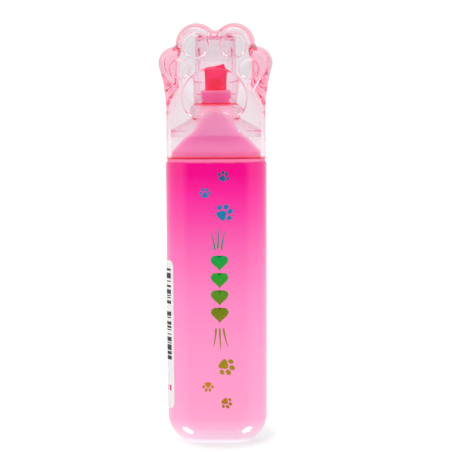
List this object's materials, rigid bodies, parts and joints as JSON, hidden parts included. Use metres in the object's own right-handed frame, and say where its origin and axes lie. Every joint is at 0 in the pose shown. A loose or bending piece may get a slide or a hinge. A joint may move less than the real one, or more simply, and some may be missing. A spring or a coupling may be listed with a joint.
{
  "type": "capped highlighter",
  "caption": "Flat highlighter pen with a pull-off clear cap shaped like an animal's paw, chisel nib and ink reservoir.",
  "frame": {"origin": "middle of the barrel's flat base", "axes": "+Z along the pen towards the cap, X across its width, -Y out of the printed front that the paw's pads are on"},
  "size_m": [0.031, 0.0176, 0.1139],
  "materials": {
    "barrel": "gloss pink plastic that fades from magenta at the mouth to pale pink at the base",
    "front_section": "satin pink plastic",
    "nib": "ink-soaked bonded fibre",
    "ink_fibre": "ink-soaked polyester fibre",
    "film": "thin clear film",
    "cap_clear": "clear polished plastic with a pale pink tint",
    "inner_cap_pink": "clear pink plastic",
    "label_paper": "white coated paper"
  },
  "bodies": {
    "pen": {"barrel": "barrel", "front_section": "front_section", "nib": "nib", "reservoir_core": "ink_fibre", "reservoir_film": "film", "label": "label_paper"},
    "cap": {"cap_shell": "cap_clear", "inner_cap": "inner_cap_pink"}
  },
  "joints": [
    {"name": "cap_pull", "type": "slide", "parent": "pen", "child": "cap", "axis": [0, 0, 1], "range_m": [0, 0.045]}
  ]
}
